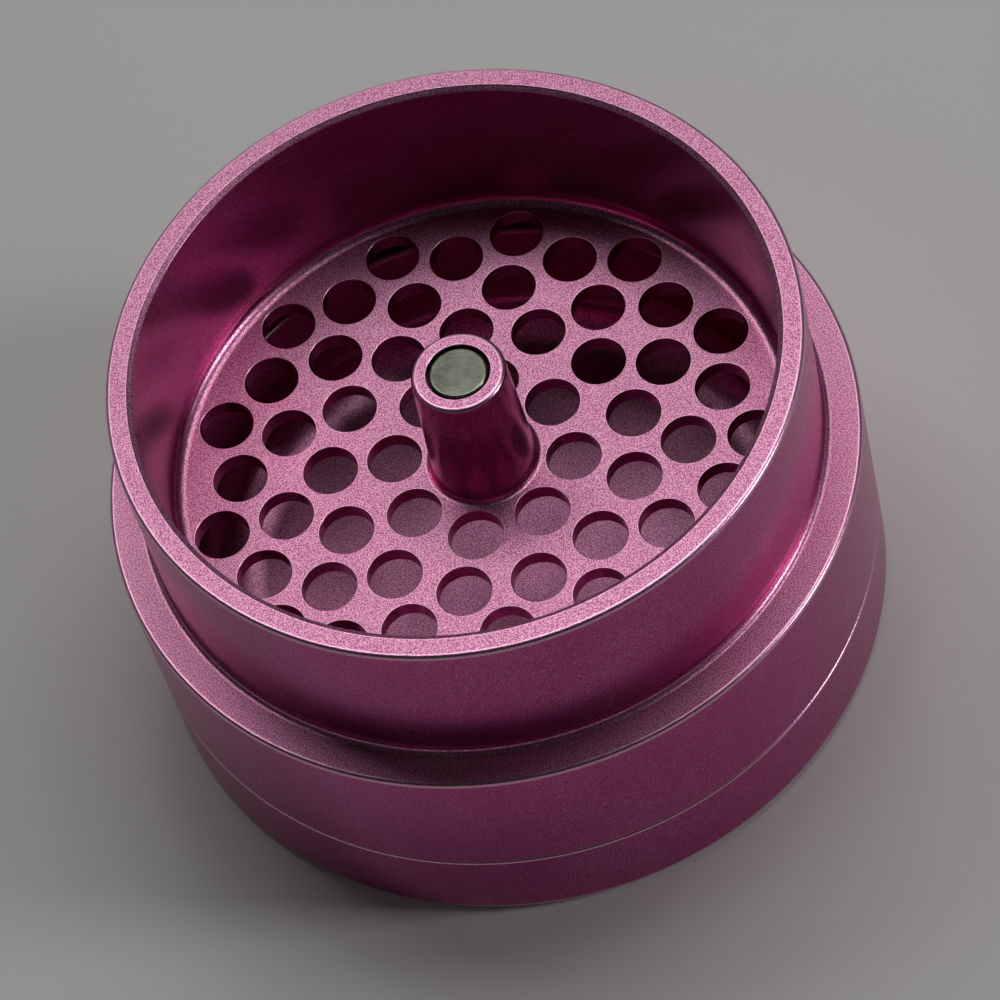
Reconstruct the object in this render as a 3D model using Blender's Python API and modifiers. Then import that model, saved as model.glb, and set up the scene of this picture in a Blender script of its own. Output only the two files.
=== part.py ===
"""A screw-together hand grinder with its lid off: chamber body, magnet, seal ring and catch cup.

Turned pieces are outlines swung round the vertical axis. The origin is the centre of the base,
+Z is up and every length is in metres.
"""

from math import asin, cos, pi, radians, sin, sqrt

import bmesh
import bpy
import numpy as np
from mathutils import Matrix, Vector

MM = 0.001

# Outside
BODY_RADIUS = 31.5 * MM
CUP_HEIGHT = 8.3 * MM
SKIRT_HEIGHT = 13.2 * MM
COLLAR_HEIGHT = 14.7 * MM
SHOULDER_WIDTH = 3.15 * MM
COLLAR_WALL = 2.2 * MM
EDGE_BREAK = 0.35 * MM
RIM_LEAD_WIDTH = 0.45 * MM
RIM_LEAD_DEPTH = 0.3 * MM
SEAM_BREAK = 0.2 * MM
SEAM_GAP = 0.2 * MM
BASE_ROUND = 0.9 * MM
FOOT_FILLET = 0.6 * MM

# Milling plate and its holes
PLATE_DROP = 1.05 * MM
PLATE_THICKNESS = 1.5 * MM
PLATE_FILLET = 1.05 * MM
HOLE_RADIUS = 2.28 * MM
POST_MARGIN = 0.31 * MM
WALL_MARGIN = 0.24 * MM
LEAST_WEB = 0.8 * MM
INNER_RING_TURN = radians(26.4)
# How the staggered rings close up from the second ring to the last, as shares of the way out.
RING_SPACING = (0.0, 0.428, 0.793, 1.0)

# Post and magnet
POST_HEIGHT = 12.75 * MM
POST_TOP_RADIUS = 3.9 * MM
POST_FOOT_RADIUS = 4.4 * MM
POST_FILLET = 0.55 * MM
MAGNET_RADIUS = 2.42 * MM
MAGNET_HEIGHT = 2.0 * MM
MAGNET_EDGE = 0.2 * MM
MAGNET_SINK = 0.1 * MM
POCKET_GAP = 0.2 * MM

# Screwed joint between the skirt and the cup's spigot
SKIRT_WALL = 2.2 * MM
SPIGOT_WALL = 1.3 * MM
JOINT_GAP = 0.3 * MM
THREAD_LEAD = 2.4 * MM
THREAD_TURNS = 1.0
THREAD_MARGIN = 0.3 * MM
THREAD_CLEARANCE = 0.35 * MM
RIDGE_HEIGHT = 0.7 * MM
RIDGE_ROOT_WIDTH = 1.1 * MM
RIDGE_CREST_WIDTH = 0.55 * MM
RIDGE_ROOTING = 0.3 * MM
THREAD_RELIEF = 0.6 * MM
THREAD_STEP = 1.4 * MM

# Seal ring and its groove
GROOVE_LIFT = 0.6 * MM
GROOVE_HEIGHT = 1.5 * MM
GROOVE_DEPTH = 1.1 * MM
SEAL_SIDE_GAP = 0.25 * MM

# Bowl
BOWL_FLOOR = 2.4 * MM
BOWL_FILLET = 5.0 * MM
CAVITY_FILLET = 0.8 * MM

TURN_STEPS = 60
HOLE_SIDES = 12
MERGE = 0.000005

# What follows from the sizes above
SEAM_Z = CUP_HEIGHT + SEAM_GAP
SHOULDER_Z = CUP_HEIGHT + SKIRT_HEIGHT
RIM_Z = SHOULDER_Z + COLLAR_HEIGHT
PLATE_Z = SHOULDER_Z - PLATE_DROP
POST_Z = PLATE_Z + POST_HEIGHT
COLLAR_RADIUS = BODY_RADIUS - SHOULDER_WIDTH
CHAMBER_RADIUS = COLLAR_RADIUS - COLLAR_WALL
BORE_RADIUS = BODY_RADIUS - SKIRT_WALL
LAND_RADIUS = BORE_RADIUS - JOINT_GAP
SPIGOT_RADIUS = BORE_RADIUS - THREAD_CLEARANCE - RIDGE_HEIGHT
BOWL_RADIUS = SPIGOT_RADIUS - SPIGOT_WALL
GROOVE_Z = SEAM_Z + GROOVE_LIFT
LAND_Z = GROOVE_Z + GROOVE_HEIGHT
THREAD_Z = LAND_Z + THREAD_MARGIN + RIDGE_ROOT_WIDTH / 2
THREAD_RISE = THREAD_LEAD * THREAD_TURNS
SPIGOT_Z = THREAD_Z + THREAD_RISE + RIDGE_ROOT_WIDTH / 2 + THREAD_MARGIN
POCKET_RADIUS = MAGNET_RADIUS + POCKET_GAP
MAGNET_Z = POST_Z - MAGNET_SINK - MAGNET_HEIGHT
POCKET_Z = MAGNET_Z - JOINT_GAP


def arc(centre, radius, start, end, count):
    """Points on a circle in the radius-height plane, from one angle in degrees to another."""
    points = []
    for step in range(count + 1):
        angle = radians(start + (end - start) * step / count)
        points.append((centre[0] + radius * cos(angle), centre[1] + radius * sin(angle)))
    return points


def new_material(name, colour, roughness, metallic):
    """A plain Principled material."""
    material = bpy.data.materials.new(name)
    material.use_nodes = True
    shader = material.node_tree.nodes["Principled BSDF"]
    shader.inputs["Base Color"].default_value = (*colour, 1.0)
    shader.inputs["Roughness"].default_value = roughness
    shader.inputs["Metallic"].default_value = metallic
    material.diffuse_color = (*colour, 1.0)
    return material


def turned(name, outline, closed, collection):
    """An outline of (radius, height) points swung once round Z; it runs down its outer side."""
    mesh = bpy.data.meshes.new(name)
    points = [(radius, 0.0, height) for radius, height in outline]
    edges = [(i, i + 1) for i in range(len(points) - 1)]
    if closed:
        edges.append((len(points) - 1, 0))
    mesh.from_pydata(points, edges, [])
    piece = bpy.data.objects.new(name, mesh)
    collection.objects.link(piece)
    screw = piece.modifiers.new("turn", "SCREW")
    screw.axis = "Z"
    screw.steps = TURN_STEPS
    screw.render_steps = TURN_STEPS
    screw.use_merge_vertices = True
    screw.merge_threshold = MERGE
    screw.use_smooth_shade = True
    return piece


def guide(name, collection):
    """An empty mesh object that only cuts or joins another piece."""
    helper = bpy.data.objects.new(name, bpy.data.meshes.new(name))
    helper.hide_render = True
    helper.display_type = "WIRE"
    collection.objects.link(helper)
    return helper


def combine(piece, helper, operation):
    """Cut a helper out of a piece, or join it on."""
    boolean = piece.modifiers.new(helper.name, "BOOLEAN")
    boolean.operation = operation
    boolean.solver = "EXACT"
    boolean.object = helper


def staggered_radii(first, last, pitch):
    """As many rings as fit from first to last, with every other ring at least a pitch apart."""
    known = np.linspace(0.0, 1.0, len(RING_SPACING))
    rings = np.array([first])
    gaps = 1
    while last > first:
        shares = np.interp(np.linspace(0.0, 1.0, gaps + 1), known, RING_SPACING)
        tried = first + shares * (last - first)
        if gaps > 1 and min(tried[2:] - tried[:-2]) < pitch:
            break
        rings = tried
        gaps += 1
    return rings


def staggered_count(rings, pitch):
    """The most holes for each of the rings, when each ring is turned half a step from the last."""
    fits = [pi / asin(pitch / (2 * rings[0]))]
    for near, far in zip(rings[:-1], rings[1:]):
        across = pitch**2 - (far - near) ** 2
        if across > 0:
            fits.append(pi / (2 * asin(sqrt(across / (4 * near * far)))))
    return int(min(fits))


def hole_places():
    """The centre of each hole: an inner ring round the post, then rings that are staggered."""
    pitch = 2 * HOLE_RADIUS + LEAST_WEB
    inner = POST_FOOT_RADIUS + POST_FILLET + POST_MARGIN + HOLE_RADIUS
    outer = CHAMBER_RADIUS - PLATE_FILLET - WALL_MARGIN - HOLE_RADIUS
    inner_count = int(pi / asin(pitch / (2 * inner)))
    rings = staggered_radii(inner + pitch, outer, pitch)
    count = staggered_count(rings, pitch)
    turned_rings = [(inner, inner_count, INNER_RING_TURN)]
    for index, radius in enumerate(rings):
        turned_rings.append((radius, count, (index % 2) * pi / count))
    places = []
    for radius, holes, turn in turned_rings:
        for index in range(holes):
            angle = turn + 2 * pi * index / holes
            places.append((radius * cos(angle), radius * sin(angle)))
    return places


def hole_cutter(collection):
    """All the plate's holes as one set of upright cylinders."""
    cutter = guide("hole_cutter", collection)
    shape = bmesh.new()
    middle = PLATE_Z - PLATE_THICKNESS / 2
    for x, y in hole_places():
        bmesh.ops.create_cone(
            shape,
            cap_ends=True,
            segments=HOLE_SIDES,
            radius1=HOLE_RADIUS,
            radius2=HOLE_RADIUS,
            depth=PLATE_THICKNESS * 2,
            matrix=Matrix.Translation((x, y, middle)),
        )
    shape.to_mesh(cutter.data)
    shape.free()
    return cutter


def thread_ridge(name, root_radius, outward, turn, collection):
    """A helical ridge standing off a wall, outward or inward, that climbs one lead each turn."""
    helper = guide(name, collection)
    side = 1 if outward else -1
    root = root_radius - side * RIDGE_ROOTING
    crest = root_radius + side * RIDGE_HEIGHT
    section = (
        (root, -RIDGE_ROOT_WIDTH / 2),
        (crest, -RIDGE_CREST_WIDTH / 2),
        (crest, RIDGE_CREST_WIDTH / 2),
        (root, RIDGE_ROOT_WIDTH / 2),
    )
    steps = round(TURN_STEPS * THREAD_TURNS)
    step_rise = THREAD_RISE / steps
    shape = bmesh.new()
    heading = Matrix.Rotation(turn, 3, "Z")
    corners = [shape.verts.new(heading @ Vector((r, 0.0, THREAD_Z + z))) for r, z in section]
    face = shape.faces.new(corners)
    bmesh.ops.spin(
        shape,
        geom=[face, *face.edges, *face.verts],
        cent=(0.0, 0.0, 0.0),
        axis=(0.0, 0.0, 1.0),
        dvec=(0.0, 0.0, step_rise),
        angle=2 * pi * THREAD_TURNS,
        steps=steps,
    )
    bmesh.ops.recalc_face_normals(shape, faces=shape.faces)
    shape.to_mesh(helper.data)
    shape.free()
    return helper


def chamber_outline():
    """Pocket, post, plate, collar, shoulder, skirt, bore and the cavity under the plate."""
    flat_radius = CHAMBER_RADIUS - PLATE_FILLET
    post_round = (POST_TOP_RADIUS - EDGE_BREAK, POST_Z - EDGE_BREAK)
    post_foot = (POST_FOOT_RADIUS + POST_FILLET, PLATE_Z + POST_FILLET)
    collar_foot = (COLLAR_RADIUS + FOOT_FILLET, SHOULDER_Z + FOOT_FILLET)
    underside = PLATE_Z - PLATE_THICKNESS
    thread_top = SPIGOT_Z + THREAD_RELIEF
    cavity_radius = BORE_RADIUS - THREAD_STEP
    return [
        (0.0, POCKET_Z),
        (POCKET_RADIUS, POCKET_Z),
        (POCKET_RADIUS, POST_Z),
        *arc(post_round, EDGE_BREAK, 90, 0, 2),
        *arc(post_foot, POST_FILLET, 180, 270, 3),
        *arc((flat_radius, PLATE_Z + PLATE_FILLET), PLATE_FILLET, 270, 360, 4),
        (CHAMBER_RADIUS, RIM_Z - RIM_LEAD_DEPTH),
        (CHAMBER_RADIUS + RIM_LEAD_WIDTH, RIM_Z),
        (COLLAR_RADIUS - EDGE_BREAK, RIM_Z),
        (COLLAR_RADIUS, RIM_Z - EDGE_BREAK),
        *arc(collar_foot, FOOT_FILLET, 180, 270, 3),
        (BODY_RADIUS - EDGE_BREAK, SHOULDER_Z),
        (BODY_RADIUS, SHOULDER_Z - EDGE_BREAK),
        (BODY_RADIUS, SEAM_Z + SEAM_BREAK),
        (BODY_RADIUS - SEAM_BREAK, SEAM_Z),
        (BORE_RADIUS, SEAM_Z),
        (BORE_RADIUS, GROOVE_Z),
        (BORE_RADIUS + GROOVE_DEPTH, GROOVE_Z),
        (BORE_RADIUS + GROOVE_DEPTH, LAND_Z),
        (BORE_RADIUS, LAND_Z),
        (BORE_RADIUS, thread_top),
        (cavity_radius, thread_top),
        *arc((cavity_radius - CAVITY_FILLET, underside - CAVITY_FILLET), CAVITY_FILLET, 0, 90, 2),
        (0.0, underside),
    ]


def cup_outline():
    """Bowl, spigot, ledge that the skirt meets, outer wall and flat base."""
    bowl_corner = (BOWL_RADIUS - BOWL_FILLET, BOWL_FLOOR + BOWL_FILLET)
    base_corner = (BODY_RADIUS - BASE_ROUND, BASE_ROUND)
    return [
        (0.0, BOWL_FLOOR),
        *arc(bowl_corner, BOWL_FILLET, 270, 360, 5),
        (BOWL_RADIUS, SPIGOT_Z - EDGE_BREAK),
        (BOWL_RADIUS + EDGE_BREAK, SPIGOT_Z),
        (SPIGOT_RADIUS - EDGE_BREAK, SPIGOT_Z),
        (SPIGOT_RADIUS, SPIGOT_Z - EDGE_BREAK),
        (SPIGOT_RADIUS, LAND_Z),
        (LAND_RADIUS, LAND_Z),
        (LAND_RADIUS, CUP_HEIGHT),
        (BODY_RADIUS - SEAM_BREAK, CUP_HEIGHT),
        (BODY_RADIUS, CUP_HEIGHT - SEAM_BREAK),
        *arc(base_corner, BASE_ROUND, 0, -90, 3),
        (0.0, 0.0),
    ]


def magnet_outline():
    """A disc with a rounded upper edge."""
    top = MAGNET_Z + MAGNET_HEIGHT
    edge = (MAGNET_RADIUS - MAGNET_EDGE, top - MAGNET_EDGE)
    return [
        (0.0, top),
        *arc(edge, MAGNET_EDGE, 90, 0, 2),
        (MAGNET_RADIUS, MAGNET_Z),
        (0.0, MAGNET_Z),
    ]


def seal_outline():
    """A ring that fills most of the skirt's groove and reaches in to the spigot's land."""
    inner = LAND_RADIUS + SEAL_SIDE_GAP
    outer = BORE_RADIUS + GROOVE_DEPTH - JOINT_GAP
    low = GROOVE_Z + SEAL_SIDE_GAP
    high = LAND_Z - SEAL_SIDE_GAP
    bevel = (high - low) / 4
    return [
        (inner + bevel, high),
        (outer - bevel, high),
        (outer, high - bevel),
        (outer, low + bevel),
        (outer - bevel, low),
        (inner + bevel, low),
        (inner, low + bevel),
        (inner, high - bevel),
    ]


def clear_scene():
    """Start from nothing."""
    for leftover in list(bpy.data.objects):
        bpy.data.objects.remove(leftover, do_unlink=True)


def new_collection(name):
    """A collection in the scene."""
    collection = bpy.data.collections.new(name)
    bpy.context.scene.collection.children.link(collection)
    return collection


def main():
    clear_scene()
    grinder = new_collection("hand_grinder")
    cutters = new_collection("cutters")
    anodised = new_material("pink_anodised_aluminium", (0.48, 0.16, 0.33), 0.4, 1.0)
    nickel = new_material("nickel_plate", (0.45, 0.46, 0.42), 0.3, 1.0)
    silicone = new_material("clear_silicone", (0.62, 0.6, 0.58), 0.5, 0.0)

    chamber = turned("chamber_body", chamber_outline(), False, grinder)
    chamber.data.materials.append(anodised)
    combine(chamber, hole_cutter(cutters), "DIFFERENCE")
    skirt_thread = thread_ridge("skirt_thread", BORE_RADIUS, False, pi, cutters)
    combine(chamber, skirt_thread, "UNION")

    cup = turned("catch_cup", cup_outline(), False, grinder)
    cup.data.materials.append(anodised)
    spigot_thread = thread_ridge("spigot_thread", SPIGOT_RADIUS, True, 0.0, cutters)
    combine(cup, spigot_thread, "UNION")

    magnet = turned("post_magnet", magnet_outline(), False, grinder)
    magnet.data.materials.append(nickel)

    seal = turned("skirt_seal_ring", seal_outline(), True, grinder)
    seal.data.materials.append(silicone)


main()
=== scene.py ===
from math import cos, pi, radians, sin

import bpy
import numpy as np
from mathutils import Matrix, Vector
from mathutils.geometry import delaunay_2d_cdt


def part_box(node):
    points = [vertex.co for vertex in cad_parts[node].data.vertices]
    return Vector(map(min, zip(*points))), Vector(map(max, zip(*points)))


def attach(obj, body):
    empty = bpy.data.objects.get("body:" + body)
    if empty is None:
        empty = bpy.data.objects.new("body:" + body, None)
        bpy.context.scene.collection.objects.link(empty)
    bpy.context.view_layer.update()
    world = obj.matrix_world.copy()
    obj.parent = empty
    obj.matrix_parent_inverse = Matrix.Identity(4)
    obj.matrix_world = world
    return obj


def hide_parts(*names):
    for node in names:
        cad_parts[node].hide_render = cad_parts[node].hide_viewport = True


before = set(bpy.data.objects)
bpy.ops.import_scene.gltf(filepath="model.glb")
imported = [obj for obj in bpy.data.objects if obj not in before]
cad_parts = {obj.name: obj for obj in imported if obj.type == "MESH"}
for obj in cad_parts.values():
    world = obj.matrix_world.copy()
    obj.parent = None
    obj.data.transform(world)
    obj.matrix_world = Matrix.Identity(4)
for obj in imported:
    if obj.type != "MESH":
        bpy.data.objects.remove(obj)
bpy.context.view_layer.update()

millimetre = 0.001
smoothness = {
    "aroundBody": 288,       # steps round the wide pieces
    "aroundPost": 120,       # steps round the post and the magnet
    "aroundHole": 40,        # steps round each hole
    "acrossThread": 19,      # rows across the thread's ridge
    "fewestChords": 2,       # on an arc
    "mostChords": 28,
    "tolerance": 0.003,      # how far an arc's chords may lie inside it, in millimetres
    "edgeBand": 0.12,        # how far an edge's polish and painted highlight spread onto the flats beside it, in millimetres
    "hollowPolishAndHighlight": 0.6,     # how smooth the blasting leaves a hollow corner, and how much painted highlight it gets, beside 1 on an edge
    "crestPolishAndHighlight": 0.5,      # and the crest of the thread, polish and painted highlight alike
}

# How wide the fan that closes a round flat is, beside the flat.
fanShare = {"pocket": 0.5, "cup": 0.3, "magnet": 0.4}


def metres(sizes):  # every length of a dictionary, from millimetres
    return {name: size * millimetre for name, size in sizes.items()}


def unit(vector):
    return vector / np.linalg.norm(vector, axis=-1, keepdims=True)


# A path of straight runs and arcs. A corner is (radius, height, rounding), and each end of an open path
# is (radius, height). The path is cut back on both sides of a corner by rounding / tan(half its angle),
# and an arc about the centre at rounding / sin(half its angle) joins the cuts. The outside lies on the
# path's left, so a normal is the direction turned a quarter turn left. The third result is the polish,
# which also sets the painted edge highlight: 1 on the arcs that stand proud, the hollow share set in
# smoothness in the hollow ones and 0 on flats.
def roundedPath(corners, closed=False):
    tolerance = smoothness["tolerance"] * millimetre
    band = smoothness["edgeBand"] * millimetre
    spots = np.array([corner[:2] for corner in corners])
    arcs = []
    for i, corner in enumerate(corners):
        if len(corner) == 2:
            step = spots[1] - spots[0] if i == 0 else spots[-1] - spots[-2]
            side = unit(np.array([-step[1], step[0]]))
            arcs.append((spots[i:i + 1], side[None], np.zeros(1)))
            continue
        rounding = corner[2]
        back = unit(spots[i - 1] - spots[i])
        ahead = unit(spots[(i + 1) % len(spots)] - spots[i])
        half = np.arccos(np.clip(back @ ahead, -1, 1)) / 2
        centre = spots[i] + unit(back + ahead) * rounding / sin(half)
        sweep = pi - 2 * half
        chord = 2 * np.arccos(1 - tolerance / rounding)
        count = int(np.clip(np.ceil(sweep / chord), smoothness["fewestChords"], smoothness["mostChords"]))
        share = np.linspace(0, 1, count + 1)[:, None]
        first = unit(spots[i] + back * rounding / np.tan(half) - centre)
        last = unit(spots[i] + ahead * rounding / np.tan(half) - centre)
        spokes = (np.sin((1 - share) * sweep) * first + np.sin(share * sweep) * last) / sin(sweep)
        proud = back[0] * ahead[1] - back[1] * ahead[0] > 0
        polish = np.full(count + 1, 1.0 if proud else smoothness["hollowPolishAndHighlight"])
        arcs.append((centre + rounding * spokes, spokes if proud else -spokes, polish))
    points, normals, edge = [], [], []
    for i, (spokePoints, spokeNormals, spokeEdge) in enumerate(arcs):
        points.append(spokePoints)
        normals.append(spokeNormals)
        edge.append(spokeEdge)
        if i == len(arcs) - 1 and not closed:
            break
        start, end = spokePoints[-1], arcs[(i + 1) % len(arcs)][0][0]
        length = np.linalg.norm(end - start)
        if length > 3 * band:  # a row near each end of the run keeps the edge's polish and painted highlight beside the edge
            inset = (end - start) * band / length
            points.append(np.array([start + inset, end - inset]))
            normals.append(np.repeat(spokeNormals[-1:], 2, axis=0))
            edge.append(np.zeros(2))
    return np.concatenate(points), np.concatenate(normals), np.concatenate(edge)


# A path swung round the vertical axis: x = radius cos a, y = radius sin a and z = height, and the
# normals likewise.
def turned(path, steps):
    points, normals, edge = path
    angle = np.arange(steps) * (2 * pi / steps)
    wheel = np.stack([np.cos(angle), np.sin(angle), np.ones(steps)], axis=-1)
    grid = points[:, None, [0, 0, 1]] * wheel
    facing = normals[:, None, [0, 0, 1]] * wheel
    return grid, facing, np.repeat(edge[:, None], steps, axis=1)


# A wall with a helical ridge on it. A row lies at a fixed offset from the ridge's middle line, whose
# height climbs one lead each turn. The wall's radius is its own plus side * ridge height * bump(offset) *
# fade(turn), where side is 1 for a ridge on the outside and -1 for one on the inside. The bump is 1
# across the crest and falls smoothly to 0 at the root. The fade brings the ridge up from nothing and
# down again.
def threadedWall(radius, side, foot, firstAngle, steps):
    size = metres(threadSize)
    angle = np.arange(steps) * (2 * pi / steps)
    turn = np.mod(angle - firstAngle, 2 * pi) / (2 * pi)
    offset = np.linspace(-1, 1, smoothness["acrossThread"]) * size["reach"]
    middle = foot + size["lead"] * turn
    flank = (size["rootWidth"] - size["crestWidth"]) / 2
    bump = smoothStep((size["rootWidth"] / 2 - np.abs(offset)) / flank)[:, None]
    runOut = size["runOut"] / (2 * pi * radius)
    fade = smoothStep(turn / runOut) * smoothStep((1 - turn) / runOut)
    height = side * size["ridge"] * bump * fade
    wide = radius + height
    alongRow = np.gradient(height, 2 * pi * radius / steps, axis=1)
    upWall = np.gradient(height, offset, axis=0)
    out = np.stack([np.cos(angle), np.sin(angle), np.zeros(steps)], axis=-1)
    along = np.stack([-np.sin(angle), np.cos(angle), np.zeros(steps)], axis=-1)
    up = np.array([0.0, 0.0, 1.0])
    grid = wide[..., None] * out + (middle[None] + offset[:, None])[..., None] * up
    facing = unit(out - alongRow[..., None] * along - upWall[..., None] * up) * side
    crest = np.abs(height) / size["ridge"]
    return grid, facing, smoothness["crestPolishAndHighlight"] * crest


def smoothStep(share):  # rises from 0 to 1 and is level at both ends: 3 s squared - 2 s cubed
    share = np.clip(share, 0, 1)
    return share * share * (3 - 2 * share)


class Shell:  # the grids and flats of one piece, gathered into one closed mesh
    def __init__(self):
        self.points, self.normals, self.edge, self.faces, self.count = [], [], [], [], 0

    def add(self, grid, facing, edge):  # keeps the points and gives back their numbers, laid out alike
        numbers = self.count + np.arange(grid[..., 0].size).reshape(grid.shape[:-1])
        self.points.append(grid.reshape(-1, 3))
        self.normals.append(facing.reshape(-1, 3))
        self.edge.append(edge.reshape(-1))
        self.count += numbers.size
        return numbers

    def skin(self, numbers):  # four-sided faces between neighbouring rows, each row closed on itself
        beside = np.roll(numbers, -1, axis=-1)
        quads = [numbers[..., :-1, :], numbers[..., 1:, :], beside[..., 1:, :], beside[..., :-1, :]]
        self.faces += np.stack(quads, axis=-1).reshape(-1, 4).tolist()

    def cap(self, row, height, faceUp):  # closes a round opening with a fan about a point on the axis
        facing = np.array([[0.0, 0.0, 1.0 if faceUp else -1.0]])
        centre = self.add(np.array([[0.0, 0.0, height]]), facing, np.zeros(1))[0]
        hub, beside = np.full(row.size, centre), np.roll(row, -1)
        self.faces += np.stack([hub, row, beside] if faceUp else [row, hub, beside]).T.tolist()

    # A flat sheet inside a round outline, with round holes: the loops' points are joined by Delaunay
    # triangles, and those whose middle lies in a hole, nearer its centre than its radius, are left out.
    def sheet(self, loops, centres, radii, faceUp):
        places = np.concatenate(self.points)
        numbers = np.concatenate(loops)
        flat = places[numbers][:, :2] / millimetre
        rims, start = [], 0
        for loop in loops:
            rims += [(start + i, start + (i + 1) % loop.size) for i in range(loop.size)]
            start += loop.size
        whole, nearness = 0, 1e-6  # every triangle is wanted, and points this near are one
        found = delaunay_2d_cdt([Vector(spot) for spot in flat], rims, [], whole, nearness, True)
        triangles, origins = found[2], found[3]
        corners = np.array([origin[0] for origin in origins])[np.array(triangles)]
        middles = flat[corners].mean(axis=1) * millimetre
        gaps = np.linalg.norm(middles[:, None] - centres[None], axis=-1) < radii[None]
        kept = corners[~gaps.any(axis=1)]
        a, b, c = flat[kept[:, 0]], flat[kept[:, 1]], flat[kept[:, 2]]
        turnsLeft = (b[:, 0] - a[:, 0]) * (c[:, 1] - a[:, 1]) > (b[:, 1] - a[:, 1]) * (c[:, 0] - a[:, 0])
        kept[turnsLeft != faceUp] = kept[turnsLeft != faceUp][:, ::-1]
        self.faces += numbers[kept].tolist()

    def build(self, name, finish, body, node):
        mesh = bpy.data.meshes.new(name)
        mesh.from_pydata(np.concatenate(self.points), [], self.faces)
        facing = unit(np.concatenate(self.normals))
        shares = {"edge": np.concatenate(self.edge), "level": np.abs(facing[:, 2])}
        for attribute, share in shares.items():
            mesh.attributes.new(attribute, "FLOAT", "POINT").data.foreach_set("value", share)
        mesh.shade_smooth()
        mesh.normals_split_custom_set_from_vertices(facing)
        mesh.materials.append(finish)
        piece = bpy.data.objects.new(name, mesh)
        bpy.context.scene.collection.objects.link(piece)
        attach(piece, body)
        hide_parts(node)
        print("made", name, "with", sum(len(face) - 2 for face in self.faces), "triangles")


class Value:  # a node's output, which takes part in sums
    def __init__(self, finish, socket):
        self.finish = finish
        self.socket = socket

    def maths(self, operation, first, second):
        return self.finish.node("ShaderNodeMath", {"operation": operation}, {0: first, 1: second})

    def __add__(self, other):
        return self.maths("ADD", self, other)

    def __sub__(self, other):
        return self.maths("SUBTRACT", self, other)

    def __rsub__(self, other):
        return self.maths("SUBTRACT", other, self)

    def __mul__(self, other):
        return self.maths("MULTIPLY", self, other)

    def __pow__(self, other):
        return self.maths("POWER", self, other)

    __radd__ = __add__
    __rmul__ = __mul__


class Finish:  # the nodes of one material, or of the world
    def __init__(self, owner, shader="Principled BSDF"):
        self.owner = owner
        owner.use_nodes = True
        self.tree = owner.node_tree
        self.shader = self.tree.nodes[shader]

    def feed(self, socket, entry):
        if isinstance(entry, Value):
            self.tree.links.new(entry.socket, socket)
        else:
            socket.default_value = entry

    def node(self, kind, settings, sockets, output=0):
        made = self.tree.nodes.new(kind)
        for name, setting in settings.items():
            setattr(made, name, setting)
        for name, entry in sockets.items():
            self.feed(made.inputs[name], entry)
        return Value(self, made.outputs[output])

    def surface(self, sockets):
        for name, entry in sockets.items():
            self.feed(self.shader.inputs[name], entry)

    def place(self):
        return self.node("ShaderNodeTexCoord", {}, {}, "Object")

    def attribute(self, name):
        return self.node("ShaderNodeAttribute", {"attribute_name": name}, {}, "Fac")

    def noise(self, place, size, detail, roughness=0.5):  # size is the width of a patch, in millimetres
        scale = 1 / (size * millimetre)
        sockets = {"Vector": place, "Scale": scale, "Detail": detail, "Roughness": roughness}
        return self.node("ShaderNodeTexNoise", {}, sockets, "Fac")

    def mix(self, share, first, second):  # colours; sockets 6 and 7 are the node's colour inputs
        settings = {"data_type": "RGBA", "clamp_factor": True}
        return self.node("ShaderNodeMix", settings, {0: share, 6: first, 7: second}, 2)

    def bump(self, height, depth, strength):  # depth in millimetres
        sockets = {"Height": height, "Distance": depth * millimetre, "Strength": strength}
        return self.node("ShaderNodeBump", {}, sockets)


anodisedLook = {
    # The wall colour is a painted shade; the light colour is a painted sheen on the flats and, in flecks,
    # painted glints.
    "wallShadePink": (0.46, 0.04, 0.22, 1),
    "fleckPink": (0.41, 0.105, 0.24, 1),
    "sheenGlintPink": (0.78, 0.40, 0.565, 1),
    # The edge colour is partly wear and partly a painted highlight.
    "rubbedHighlightPink": (0.84, 0.47, 0.65, 1),
    "grain": 0.115,          # width of a blasted dimple, in millimetres
    "grainDepth": 0.03,      # in millimetres
    "bumpStrength": 0.6,
    "wallBump": 0.2,         # how much of the dimples' depth the walls keep
    "flatGlintContrast": 10.5,    # how much the dimples differ in tone on the flats, which were blasted hard; the light ones are painted glints
    "wallGlintContrast": 2.0,     # and on the walls, which the blast only brushed
    "wallSheen": 0.07,        # how far a wall goes towards the light colour: little, which keeps a painted shade on the walls
    "flatSheen": 0.41,        # and how much further a flat goes, a painted sheen on the flats
    "flatRoughness": 0.46,
    "wallRoughness": 0.27,
    "driftWidth": 9,         # width of a patch of slightly different tone, in millimetres
    "driftTone": 0.4,
    "driftRoughness": 0.05,
    "rubbedHighlightShare": 0.7,      # how far an edge goes towards its light colour, partly wear and partly a painted highlight
    "rubbedHighlightFalloff": 4,      # how tightly that colour keeps to the edge
    "rubbedSmoothing": 0.14,
}


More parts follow.
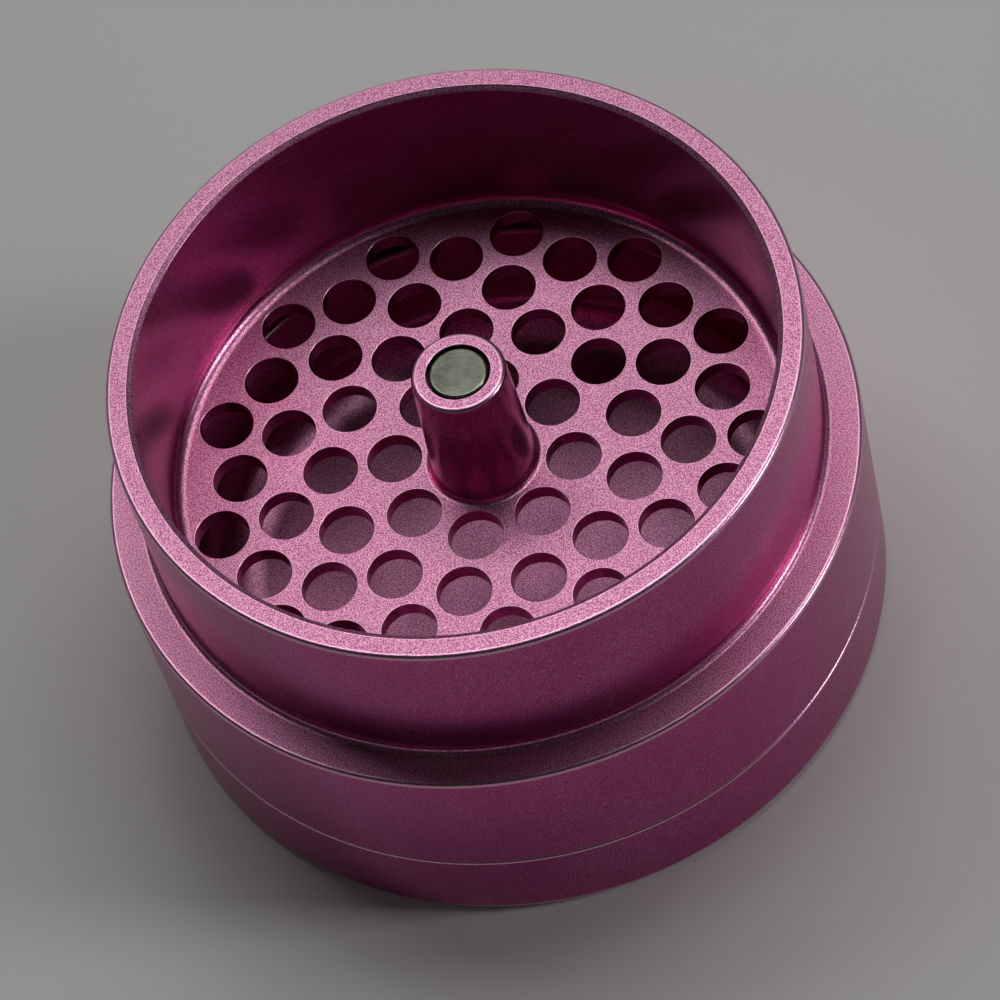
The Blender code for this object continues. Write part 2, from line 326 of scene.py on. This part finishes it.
# Bead-blasted and dye-coloured: fine dimples, strong on the flats and faint on the walls, whose light
# flecks are painted glints; flats painted lighter as a painted sheen and walls darker as a painted shade;
# a slow drift of tone; and edges smoother, and lighter partly from wear and partly as a painted
# highlight. Level is 1 on a flat, 0 on a wall.
def anodised(name, look):
    finish = Finish(bpy.data.materials.new(name))
    place = finish.place()
    speckle = finish.noise(place, look["grain"], 1)
    drift = finish.noise(place, look["driftWidth"], 3) - 0.5
    edge = finish.attribute("edge")
    level = finish.attribute("level") ** 2
    # The dimples' light flecks in the colour are painted glints, on top of the real grain.
    contrast = level * (look["flatGlintContrast"] - look["wallGlintContrast"]) + look["wallGlintContrast"]
    # Flats painted lighter as a painted sheen, walls kept darker as a painted shade.
    paintedSheen = level * look["flatSheen"] + look["wallSheen"]
    tone = (speckle - 0.5) * contrast + drift * look["driftTone"] + paintedSheen
    # Walls take the painted shade colour, flats the dark flecks of the grain.
    shadeAndFleck = finish.mix(level, look["wallShadePink"], look["fleckPink"])
    dyeWithPaintedLight = finish.mix(tone, shadeAndFleck, look["sheenGlintPink"])
    # Lighter edges: partly wear, partly a painted highlight.
    rubbedHighlight = edge ** look["rubbedHighlightFalloff"] * look["rubbedHighlightShare"]
    rough = level * (look["flatRoughness"] - look["wallRoughness"]) + look["wallRoughness"]
    dimples = speckle * (level * (1 - look["wallBump"]) + look["wallBump"])
    finish.surface({
        "Base Color": finish.mix(rubbedHighlight, dyeWithPaintedLight, look["rubbedHighlightPink"]),
        "Metallic": 1.0,
        "Roughness": drift * look["driftRoughness"] + rough - edge * look["rubbedSmoothing"],
        "Normal": finish.bump(dimples, look["grainDepth"], look["bumpStrength"]),
    })
    return finish.owner


nickelLook = {
    "bright": (0.21, 0.217, 0.175, 1),
    "dull": (0.145, 0.15, 0.118, 1),
    "roughness": 0.2,
    "scratchLength": 1.2,    # this, the widths and the bump's depth are in millimetres
    "scratchStretch": 14,    # how many times as long as it is wide a scratch is
    "noiseTurn": 25,         # degrees that the noise is turned under the scratches, which lie along X
    "scratchTone": 0.8,
    "scratchRoughness": 0.14,
    "cloudWidth": 1.2,
    "cloudTone": 1.6,
    "cloudRoughness": 0.12,
    "pitWidth": 0.14,
    "pitShare": 0.3,         # the pits' part of the bump, beside the scratches'
    "bumpDepth": 0.008,
    "bumpStrength": 0.2,
}


def satinNickel(name, look):  # plated and tumbled: cloudy, with fine scratches that run one way
    finish = Finish(bpy.data.materials.new(name))
    place = finish.place()
    turn, stretch = (0, 0, radians(look["noiseTurn"])), (1, look["scratchStretch"], 1)
    combed = finish.node("ShaderNodeMapping", {}, {"Vector": place, "Rotation": turn, "Scale": stretch})
    scratch = finish.noise(combed, look["scratchLength"], 3, 0.6)
    cloud = finish.noise(place, look["cloudWidth"], 3) - 0.5
    pits = finish.noise(place, look["pitWidth"], 1)
    tone = cloud * look["cloudTone"] + (scratch - 0.5) * look["scratchTone"] + 0.5
    rough = cloud * look["cloudRoughness"] + (scratch - 0.5) * look["scratchRoughness"]
    relief = scratch * (1 - look["pitShare"]) + pits * look["pitShare"]
    finish.surface({
        "Base Color": finish.mix(tone, look["dull"], look["bright"]),
        "Metallic": 1.0,
        "Roughness": rough + look["roughness"],
        "Normal": finish.bump(relief, look["bumpDepth"], look["bumpStrength"]),
    })
    return finish.owner


siliconeLook = {
    "milky": (0.66, 0.63, 0.6, 1),
    "shaded": (0.5, 0.46, 0.45, 1),
    "roughness": 0.48,
    "cloudWidth": 2.5,       # in millimetres
    "cloudTone": 1.8,
    "skinWidth": 0.2,        # in millimetres
    "skinRoughness": 0.15,
    "glow": 0.25,            # how much light passes through the surface
    "glowReach": (0.002, 0.0015, 0.0012),  # in metres, for red, green and blue
    "bumpDepth": 0.015,
    "bumpStrength": 0.4,
}


def silicone(name, look):  # moulded, with a slightly cloudy body and a fine matt skin
    finish = Finish(bpy.data.materials.new(name))
    place = finish.place()
    cloud = finish.noise(place, look["cloudWidth"], 3)
    skin = finish.noise(place, look["skinWidth"], 2)
    finish.surface({
        "Base Color": finish.mix((cloud - 0.5) * look["cloudTone"] + 0.5, look["shaded"], look["milky"]),
        "Roughness": (skin - 0.5) * look["skinRoughness"] + look["roughness"],
        "Subsurface Weight": look["glow"],
        "Subsurface Radius": look["glowReach"],
        "Normal": finish.bump(skin, look["bumpDepth"], look["bumpStrength"]),
    })
    return finish.owner


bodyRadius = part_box("chamber_body")[1].x
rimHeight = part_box("chamber_body")[1].z
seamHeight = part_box("chamber_body")[0].z
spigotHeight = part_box("catch_cup")[1].z
magnetLow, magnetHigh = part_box("post_magnet")
sealLow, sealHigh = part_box("skirt_seal_ring")

threadSize = {
    "lead": 2.4,             # climb of one turn
    "ridge": 0.7,            # how far the ridge stands out from its wall
    "rootWidth": 1.1,
    "crestWidth": 0.55,
    "reach": 0.62,           # how far the rows go to each side of the ridge's middle line
    "runOut": 5.0,           # length over which the ridge fades at each end
}

# What the skirt and the cup share, from the seam upwards.
jointSize = {
    "seamGap": 0.2,
    "skirtWall": 2.2,
    "landGap": 0.3,          # between the skirt and the land that centres it
    "grooveLift": 0.6,
    "grooveHeight": 1.5,
    "grooveDepth": 1.1,
    "threadMargin": 0.3,
    "threadClearance": 0.35,
}
joint = metres(jointSize)
ledgeHeight = seamHeight - joint["seamGap"]
boreRadius = bodyRadius - joint["skirtWall"]
spigotRadius = boreRadius - joint["threadClearance"] - threadSize["ridge"] * millimetre
grooveLow = seamHeight + joint["grooveLift"]
landHeight = grooveLow + joint["grooveHeight"]
threadFoot = landHeight + joint["threadMargin"] + threadSize["rootWidth"] * millimetre / 2


chamberSize = {
    "collarHeight": 14.7,
    "collarWall": 2.2,
    "shoulderWidth": 3.15,
    "edgeBreak": 0.35,       # rounding of the edges that are handled
    "fineBreak": 0.06,       # and of the edges that are cut sharp
    "seamBreak": 0.2,
    "footFillet": 0.6,       # between the collar and the shoulder
    "rimLeadWidth": 0.45,    # the mouth's slanted lead-in
    "rimLeadDepth": 0.3,
    "plateDrop": 1.05,       # from the shoulder down to the plate
    "plateThickness": 1.5,
    "plateFillet": 1.05,
    "holeRadius": 2.28,
    "holeLip": 0.09,
    "mouthMargin": 0.108,    # from a hole's wall to where its lip meets the flat
    "flatMargin": 0.05,
    "postMargin": 0.31,      # from the holes to the post's fillet
    "wallMargin": 0.24,      # and to the wall's
    "postHeight": 12.75,
    "postTopRadius": 3.9,
    "postFootRadius": 4.4,
    "postFillet": 0.55,
    "postBreak": 0.42,
    "pocketBreak": 0.1,
    "pocketGap": 0.2,        # round the magnet
    "magnetGap": 0.3,        # under it
    "threadRelief": 0.6,
    "threadStep": 1.4,
    "cavityFillet": 0.8,
}

# Each ring of holes: its place between the innermost ring and the outermost, its number of holes and its
# first angle.
holeRings = [
    (0.0, 8, radians(26.4)),
    (0.357, 13, 0.0),
    (0.632, 13, pi / 13),
    (0.867, 13, 0.0),
    (1.0, 13, pi / 13),
]


def holeCentres(size, chamberRadius):  # evenly spaced round each ring
    inner = size["postFootRadius"] + size["postFillet"] + size["postMargin"] + size["holeRadius"]
    outer = chamberRadius - size["plateFillet"] - size["wallMargin"] - size["holeRadius"]
    rings = []
    for share, count, first in holeRings:
        angle = first + np.arange(count) * (2 * pi / count)
        ringRadius = inner + share * (outer - inner)
        rings.append(np.stack([np.cos(angle), np.sin(angle)], axis=-1) * ringRadius)
    return np.concatenate(rings)


def makeChamber():
    size = metres(chamberSize)
    fine, broken = size["fineBreak"], size["edgeBreak"]
    shoulder = rimHeight - size["collarHeight"]
    collarRadius = bodyRadius - size["shoulderWidth"]
    chamberRadius = collarRadius - size["collarWall"]
    plate = shoulder - size["plateDrop"]
    underside = plate - size["plateThickness"]
    postTop = plate + size["postHeight"]
    pocketRadius = magnetHigh.x + size["pocketGap"]
    pocketFloor = magnetLow.z - size["magnetGap"]
    grooveRadius = boreRadius + joint["grooveDepth"]
    reliefHeight = spigotHeight + size["threadRelief"]
    cavityRadius = boreRadius - size["threadStep"]
    flatInner = size["postFootRadius"] + size["postFillet"] + size["flatMargin"]
    flatOuter = chamberRadius - size["plateFillet"] - size["flatMargin"]
    steps = smoothness["aroundBody"]
    shell = Shell()

    post = roundedPath([
        (pocketRadius * fanShare["pocket"], pocketFloor),
        (pocketRadius, pocketFloor, fine),
        (pocketRadius, postTop, size["pocketBreak"]),
        (size["postTopRadius"], postTop, size["postBreak"]),
        (size["postFootRadius"], plate, size["postFillet"]),
        (flatInner, plate),
    ])
    postRows = shell.add(*turned(post, smoothness["aroundPost"]))
    shell.skin(postRows)
    shell.cap(postRows[0], pocketFloor, True)

    outside = roundedPath([
        (flatOuter, plate),
        (chamberRadius, plate, size["plateFillet"]),
        (chamberRadius, rimHeight - size["rimLeadDepth"], fine),
        (chamberRadius + size["rimLeadWidth"], rimHeight, fine),
        (collarRadius, rimHeight, broken),
        (collarRadius, shoulder, size["footFillet"]),
        (bodyRadius, shoulder, broken),
        (bodyRadius, seamHeight, size["seamBreak"]),
        (boreRadius, seamHeight, fine),
        (boreRadius, grooveLow, fine),
        (grooveRadius, grooveLow, fine),
        (grooveRadius, landHeight, fine),
        (boreRadius, landHeight, fine),
        (boreRadius, landHeight + 2 * fine),
    ])
    thread = threadedWall(boreRadius, -1, threadFoot, pi, steps)
    inside = roundedPath([
        (boreRadius, reliefHeight - 2 * fine),
        (boreRadius, reliefHeight, fine),
        (cavityRadius, reliefHeight, fine),
        (cavityRadius, underside, size["cavityFillet"]),
        (cavityRadius - size["cavityFillet"] - size["flatMargin"], underside),
    ])
    bands = [turned(outside, steps), thread, turned(inside, steps)]
    wallRows = shell.add(*(np.concatenate(part) for part in zip(*bands)))
    shell.skin(wallRows)

    centres = holeCentres(size, chamberRadius)
    mouth = size["holeRadius"] + size["mouthMargin"]
    rows, facing, edge = turned(roundedPath([
        (mouth, underside),
        (size["holeRadius"], underside, size["holeLip"]),
        (size["holeRadius"], plate, size["holeLip"]),
        (mouth, plate),
    ]), smoothness["aroundHole"])
    shift = np.concatenate([centres, np.zeros((len(centres), 1))], axis=1)[:, None, None]
    many = (len(centres),) + rows.shape
    holes = shell.add(rows[None] + shift, np.broadcast_to(facing, many), np.broadcast_to(edge, many[:-1]))
    shell.skin(holes)

    gaps = np.concatenate([centres, np.zeros((1, 2))])
    gapRadii = np.append(np.full(len(centres), mouth), flatInner)
    shell.sheet([wallRows[0], postRows[-1], *holes[:, -1]], gaps, gapRadii, True)
    shell.sheet([wallRows[-1], *holes[:, 0]], centres, gapRadii[:-1], False)
    finish = anodised("pinkAnodised", anodisedLook)
    shell.build("chamberBody", finish, "chamber", "chamber_body")


cupSize = {
    "spigotWall": 1.3,
    "spigotBreak": 0.12,
    "landBreak": 0.15,
    "seamBreak": 0.2,
    "edgeBreak": 0.35,
    "fineBreak": 0.06,
    "baseRound": 0.9,
    "bowlFloor": 2.4,        # the floor's height over the table
    "bowlFillet": 5.0,
}


def makeCup():
    size = metres(cupSize)
    fine = size["fineBreak"]
    landRadius = boreRadius - joint["landGap"]
    bowlRadius = spigotRadius - size["spigotWall"]
    steps = smoothness["aroundBody"]
    shell = Shell()
    upper = roundedPath([
        (bowlRadius * fanShare["cup"], size["bowlFloor"]),
        (bowlRadius, size["bowlFloor"], size["bowlFillet"]),
        (bowlRadius, spigotHeight, size["edgeBreak"]),
        (spigotRadius, spigotHeight, size["spigotBreak"]),
        (spigotRadius, spigotHeight - size["spigotBreak"] - fine),
    ])
    thread = [part[::-1] for part in threadedWall(spigotRadius, 1, threadFoot, 0.0, steps)]
    lower = roundedPath([
        (spigotRadius, landHeight + 2 * fine),
        (spigotRadius, landHeight, fine),
        (landRadius, landHeight, size["landBreak"]),
        (landRadius, ledgeHeight, fine),
        (bodyRadius, ledgeHeight, size["seamBreak"]),
        (bodyRadius, 0.0, size["baseRound"]),
        (bodyRadius * fanShare["cup"], 0.0),
    ])
    bands = [turned(upper, steps), thread, turned(lower, steps)]
    rows = shell.add(*(np.concatenate(part) for part in zip(*bands)))
    shell.skin(rows)
    shell.cap(rows[0], size["bowlFloor"], True)
    shell.cap(rows[-1], 0.0, False)
    finish = anodised("pinkAnodisedCup", anodisedLook)
    shell.build("catchCup", finish, "cup", "catch_cup")


magnetSize = {"edgeRound": 0.22, "footRound": 0.05}


def makeMagnet():
    size = metres(magnetSize)
    radius, top, foot = magnetHigh.x, magnetHigh.z, magnetLow.z
    shell = Shell()
    path = roundedPath([
        (radius * fanShare["magnet"], top),
        (radius, top, size["edgeRound"]),
        (radius, foot, size["footRound"]),
        (radius * fanShare["magnet"], foot),
    ])
    rows = shell.add(*turned(path, smoothness["aroundPost"]))
    shell.skin(rows)
    shell.cap(rows[0], top, True)
    shell.cap(rows[-1], foot, False)
    finish = satinNickel("nickelPlate", nickelLook)
    shell.build("postMagnet", finish, "chamber", "post_magnet")


sealSize = {"rounding": 0.3, "landClearance": 0.25}


def makeSealRing():
    size = metres(sealSize)
    outer, inner = sealHigh.x, boreRadius - joint["landGap"] + size["landClearance"]
    shell = Shell()
    path = roundedPath([
        (inner, sealHigh.z, size["rounding"]),
        (outer, sealHigh.z, size["rounding"]),
        (outer, sealLow.z, size["rounding"]),
        (inner, sealLow.z, size["rounding"]),
    ], closed=True)
    rows = shell.add(*turned(path, smoothness["aroundBody"]))
    shell.skin(np.concatenate([rows, rows[:1]]))
    finish = silicone("clearSilicone", siliconeLook)
    shell.build("skirtSealRing", finish, "seal", "skirt_seal_ring")


studio = {
    "floorColour": (0.64, 0.625, 0.62, 1),
    "floorSize": 2.4,        # in metres
    "floorDrop": 0.0002,     # how far the floor lies under the cup, so that the two don't flicker
    "floorPatch": 40,        # width of a patch of slightly different gloss, in millimetres
    "floorRoughness": 0.6,
    "patchRoughness": 0.1,
    "backdrop": 0.24,        # the room's brightness at the horizon
    "ceiling": 0.02,         # and overhead
    "fadeStart": 0.1,        # sine of the angle up at which the backdrop begins to darken
    "fadeEnd": 0.45,         # and of the one at which it is as dark as the ceiling
    "lightsAim": 0.6,        # share of the rim's height that the softboxes face
}

# Each softbox: the direction it stands in (degrees round from +X, degrees up), its distance, width and
# height in metres, and its watts.
softboxes = {
    "backSoftbox": (54, 69, 0.6, 0.40, 0.20, 0.96),
    "leftBackSoftbox": (122, 58, 0.7, 0.22, 0.20, 0.52),
    "lowBackSoftbox": (90, 22, 1.0, 0.50, 0.16, 0.4),
    "rightSoftbox": (342, 26, 1.0, 0.20, 0.40, 2.3),
}


def makeFloor():
    mesh = bpy.data.meshes.new("floor")
    half = studio["floorSize"] / 2
    corners = [(-half, -half, 0), (half, -half, 0), (half, half, 0), (-half, half, 0)]
    mesh.from_pydata(corners, [], [(0, 1, 2, 3)])
    finish = Finish(bpy.data.materials.new("paleFloor"))
    patch = finish.noise(finish.place(), studio["floorPatch"], 2)
    rough = patch * studio["patchRoughness"] + studio["floorRoughness"]
    finish.surface({"Base Color": studio["floorColour"], "Roughness": rough})
    mesh.materials.append(finish.owner)
    floor = bpy.data.objects.new("floor", mesh)
    bpy.context.scene.collection.objects.link(floor)
    floor.location.z = -studio["floorDrop"]


def setTone():  # colours shown as they are worked out, without a film curve
    bpy.context.scene.view_settings.view_transform = "Standard"


def makeLights():
    middle = Vector((0, 0, rimHeight * studio["lightsAim"]))
    for name, (around, up, distance, width, height, watts) in softboxes.items():
        light = bpy.data.lights.new(name, "AREA")
        light.shape = "RECTANGLE"
        light.size, light.size_y, light.energy = width, height, watts
        lamp = bpy.data.objects.new(name, light)
        bpy.context.scene.collection.objects.link(lamp)
        a, e = radians(around), radians(up)
        toward = Vector((cos(a) * cos(e), sin(a) * cos(e), sin(e)))
        lamp.location = middle + toward * distance
        lamp.rotation_euler = toward.to_track_quat("Z", "Y").to_euler()


def makeRoom():  # even grey light that falls off from the horizon to the ceiling
    room = Finish(bpy.data.worlds.new("studio"), "Background")
    toward = room.node("ShaderNodeTexCoord", {}, {}, "Generated")
    up = room.node("ShaderNodeSeparateXYZ", {}, {"Vector": toward}, "Z")
    fade = room.node("ShaderNodeMapRange", {"interpolation_type": "SMOOTHSTEP"}, {
        "Value": up,
        "From Min": studio["fadeStart"],
        "From Max": studio["fadeEnd"],
        "To Min": studio["backdrop"],
        "To Max": studio["ceiling"],
    })
    room.surface({"Color": (1, 1, 1, 1), "Strength": fade})
    bpy.context.scene.world = room.owner


view = {
    "elevation": 56.41,     # degrees above the horizon
    "swing": 0.58,          # degrees round from looking along +Y
    "roll": -17.0,          # degrees, with the camera turned clockwise
    "distance": 0.36156,    # in metres, as the clip and the aim are
    "lens": 163.09,         # in millimetres, as the sensor is
    "sensorWidth": 36,
    "clip": (0.01, 20),     # nearest and farthest things seen
    "aim": (0.00034, -0.01042, 0.02928),
}


def makeCamera():
    data = bpy.data.cameras.new("camera")
    data.lens, data.sensor_width = view["lens"], view["sensorWidth"]
    data.clip_start, data.clip_end = view["clip"]
    camera = bpy.data.objects.new("camera", data)
    bpy.context.scene.collection.objects.link(camera)
    swing = Matrix.Rotation(radians(view["swing"]), 4, "Z")
    tilt = Matrix.Rotation(radians(90 - view["elevation"]), 4, "X")
    roll = Matrix.Rotation(radians(view["roll"]), 4, "Z")
    backOff = Matrix.Translation((0, 0, view["distance"]))
    camera.matrix_world = Matrix.Translation(view["aim"]) @ swing @ tilt @ roll @ backOff
    bpy.context.scene.camera = camera


makeChamber()
makeCup()
makeMagnet()
makeSealRing()
makeFloor()
makeLights()
makeRoom()
setTone()
makeCamera()
print("set the floor, lights and camera")

bpy.context.view_layer.update()
